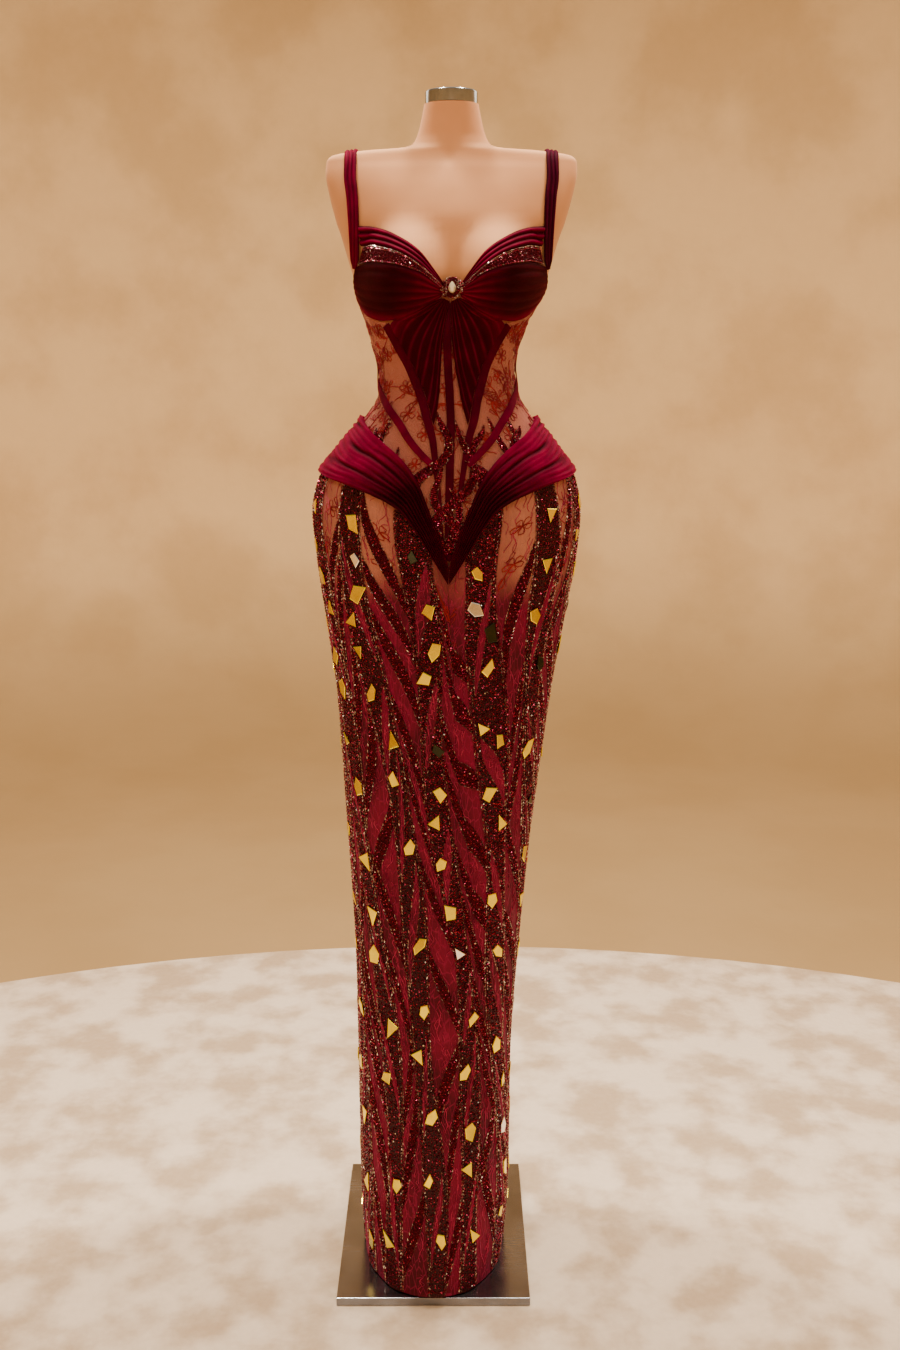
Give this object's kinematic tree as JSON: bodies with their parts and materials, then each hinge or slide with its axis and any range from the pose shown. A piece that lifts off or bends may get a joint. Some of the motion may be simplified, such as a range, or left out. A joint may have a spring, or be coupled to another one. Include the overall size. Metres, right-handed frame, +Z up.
{
  "type": "evening dress on a dress form",
  "caption": "Long sheath evening dress with draped velvet cups, sheer boned lace bodice, pleated hip drapes and beaded skirt, worn by a limbless dress form on a steel base.",
  "frame": {"origin": "on the underside of the base plate, straight below the middle of the waist", "axes": "+Z up, the front of the dress faces -Y, +X to the right of someone who looks at the front"},
  "size_m": [0.3855, 0.3391, 1.7281],
  "materials": {
    "velvet": "dark burgundy velvet",
    "velvet_crimson": "crimson velvet with a soft sheen",
    "lace": "sheer tulle with crimson lace",
    "beaded_lace": "corded lace under glass beads and gold mirrors",
    "beaded_crescent": "glass beads",
    "bead_cluster": "glossy beads",
    "crystal": "cut crystal",
    "form_skin": "matte, skin-coloured",
    "chrome": "polished",
    "steel": "polished steel plate"
  },
  "bodies": {
    "root": {"base_plate": "steel", "bodice_back_left": "lace", "bodice_back_right": "lace", "bodice_front_left": "lace", "bodice_front_right": "lace", "bodice_side_left": "lace", "bodice_side_right": "lace", "brooch_cluster": "bead_cluster", "brooch_stone": "crystal", "cup_crescent_left": "beaded_crescent", "cup_crescent_right": "beaded_crescent", "cup_drape_left": "velvet", "cup_drape_right": "velvet", "cup_roll_left": "velvet", "cup_roll_right": "velvet", "fan_left": "velvet", "fan_right": "velvet", "form_collar": "steel", "form_neck_cap": "chrome", "form_pole": "steel", "form_torso": "form_skin", "hip_drape_left": "velvet_crimson", "hip_drape_right": "velvet_crimson", "skirt_back_left": "beaded_lace", "skirt_back_right": "beaded_lace", "skirt_front_left": "beaded_lace", "skirt_front_right": "beaded_lace", "strap_left": "velvet", "strap_right": "velvet_crimson", "tape_centre": "velvet", "tape_front_left": "velvet", "tape_front_right": "velvet", "tape_side_left": "velvet_crimson", "tape_side_right": "velvet_crimson"}
  },
  "joints": []
}
